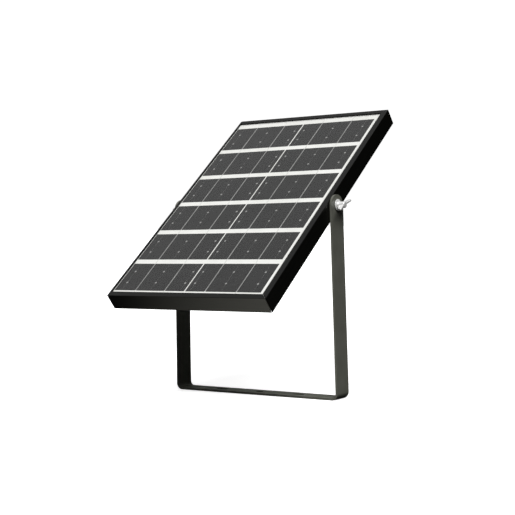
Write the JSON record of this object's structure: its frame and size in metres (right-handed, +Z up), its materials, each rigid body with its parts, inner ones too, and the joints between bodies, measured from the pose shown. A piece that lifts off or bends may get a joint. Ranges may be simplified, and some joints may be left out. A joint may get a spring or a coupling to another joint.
{
  "type": "solar panel on tilt bracket",
  "caption": "Small framed solar panel with two columns of half-cut cells, held between the arms of a U-shaped flat-bar bracket by wing screws, so that it tilts.",
  "frame": {"origin": "centre of the bracket's foot, on the surface that it stands on", "axes": "+Z up; +X along the hinge, to the right seen from the sunlit side; the sunlit face leans towards -Y"},
  "size_m": [0.2274, 0.2581, 0.3066],
  "materials": {
    "bracket_paint": "satin",
    "frame_anodised": "satin",
    "front_glass": "gloss",
    "solar_cell": "satin",
    "tinned_ribbon": "satin",
    "white_sheet": "matte",
    "bright_steel": "polished",
    "plated_steel": "satin",
    "raw_aluminium": "satin",
    "black_plastic": "satin",
    "black_rubber": "matte",
    "brass_tab": "satin"
  },
  "bodies": {
    "bracket": {"u_bracket": "bracket_paint"},
    "panel": {"front_glass": "front_glass", "rear_encapsulant": "white_sheet", "backsheet": "white_sheet", "edge_gasket": "black_rubber", "junction_box_pad": "black_rubber", "junction_box_tray": "black_plastic", "junction_box_seal": "black_rubber", "junction_box_lid": "black_plastic", "terminal_positive": "brass_tab", "terminal_negative": "brass_tab", "blocking_diode": "black_plastic", "gland_body": "black_plastic", "gland_seal": "black_rubber", "gland_nut": "black_plastic", "solar_cell_row1_left": "solar_cell", "solar_cell_row1_right": "solar_cell", "solar_cell_row2_left": "solar_cell", "solar_cell_row2_right": "solar_cell", "solar_cell_row3_left": "solar_cell", "solar_cell_row3_right": "solar_cell", "solar_cell_row4_left": "solar_cell", "solar_cell_row4_right": "solar_cell", "solar_cell_row5_left": "solar_cell", "solar_cell_row5_right": "solar_cell", "solar_cell_row6_left": "solar_cell", "solar_cell_row6_right": "solar_cell", "top_rail": "frame_anodised", "bottom_rail": "frame_anodised", "left_rail": "frame_anodised", "right_rail": "frame_anodised", "corner_key_top_left": "raw_aluminium", "corner_key_top_right": "raw_aluminium", "corner_key_bottom_left": "raw_aluminium", "corner_key_bottom_right": "raw_aluminium", "left_hinge_nut": "plated_steel", "right_hinge_nut": "plated_steel", "lid_screw_top_left": "plated_steel", "lid_screw_top_right": "plated_steel", "lid_screw_bottom_left": "plated_steel", "lid_screw_bottom_right": "plated_steel", "tabbing_ribbon_left_inner": "tinned_ribbon", "tabbing_ribbon_left_outer": "tinned_ribbon", "tabbing_ribbon_right_inner": "tinned_ribbon", "tabbing_ribbon_right_outer": "tinned_ribbon", "bus_ribbon_top_left": "tinned_ribbon", "bus_ribbon_top_right": "tinned_ribbon", "bus_ribbon_bottom": "tinned_ribbon"},
    "right_washer": {"right_washer": "bright_steel"},
    "right_screw": {"right_wing_screw": "bright_steel"},
    "left_washer": {"left_washer": "bright_steel"},
    "left_screw": {"left_wing_screw": "bright_steel"}
  },
  "joints": [
    {"name": "panel_tilt", "type": "hinge", "parent": "bracket", "child": "panel", "pos_m": [0, 0, 0.201], "axis": [1, 0, 0], "continuous": true},
    {"name": "right_screw_travel", "type": "slide", "parent": "panel", "child": "right_washer", "axis": [1, 0, 0], "range_m": [0, 0.0024]},
    {"name": "right_screw_turn", "type": "hinge", "parent": "right_washer", "child": "right_screw", "pos_m": [0.104, 0, 0.201], "axis": [1, 0, 0], "range_deg": [0, 1080]},
    {"name": "left_screw_travel", "type": "slide", "parent": "panel", "child": "left_washer", "axis": [-1, 0, 0], "range_m": [0, 0.0024]},
    {"name": "left_screw_turn", "type": "hinge", "parent": "left_washer", "child": "left_screw", "pos_m": [-0.104, 0, 0.201], "axis": [-1, 0, 0], "range_deg": [0, 1080]}
  ],
  "couplings": [
    {"joint": "right_screw_travel", "follows": "right_screw_turn", "m_per_rad": 0.00012732},
    {"joint": "left_screw_travel", "follows": "left_screw_turn", "m_per_rad": 0.00012732}
  ]
}
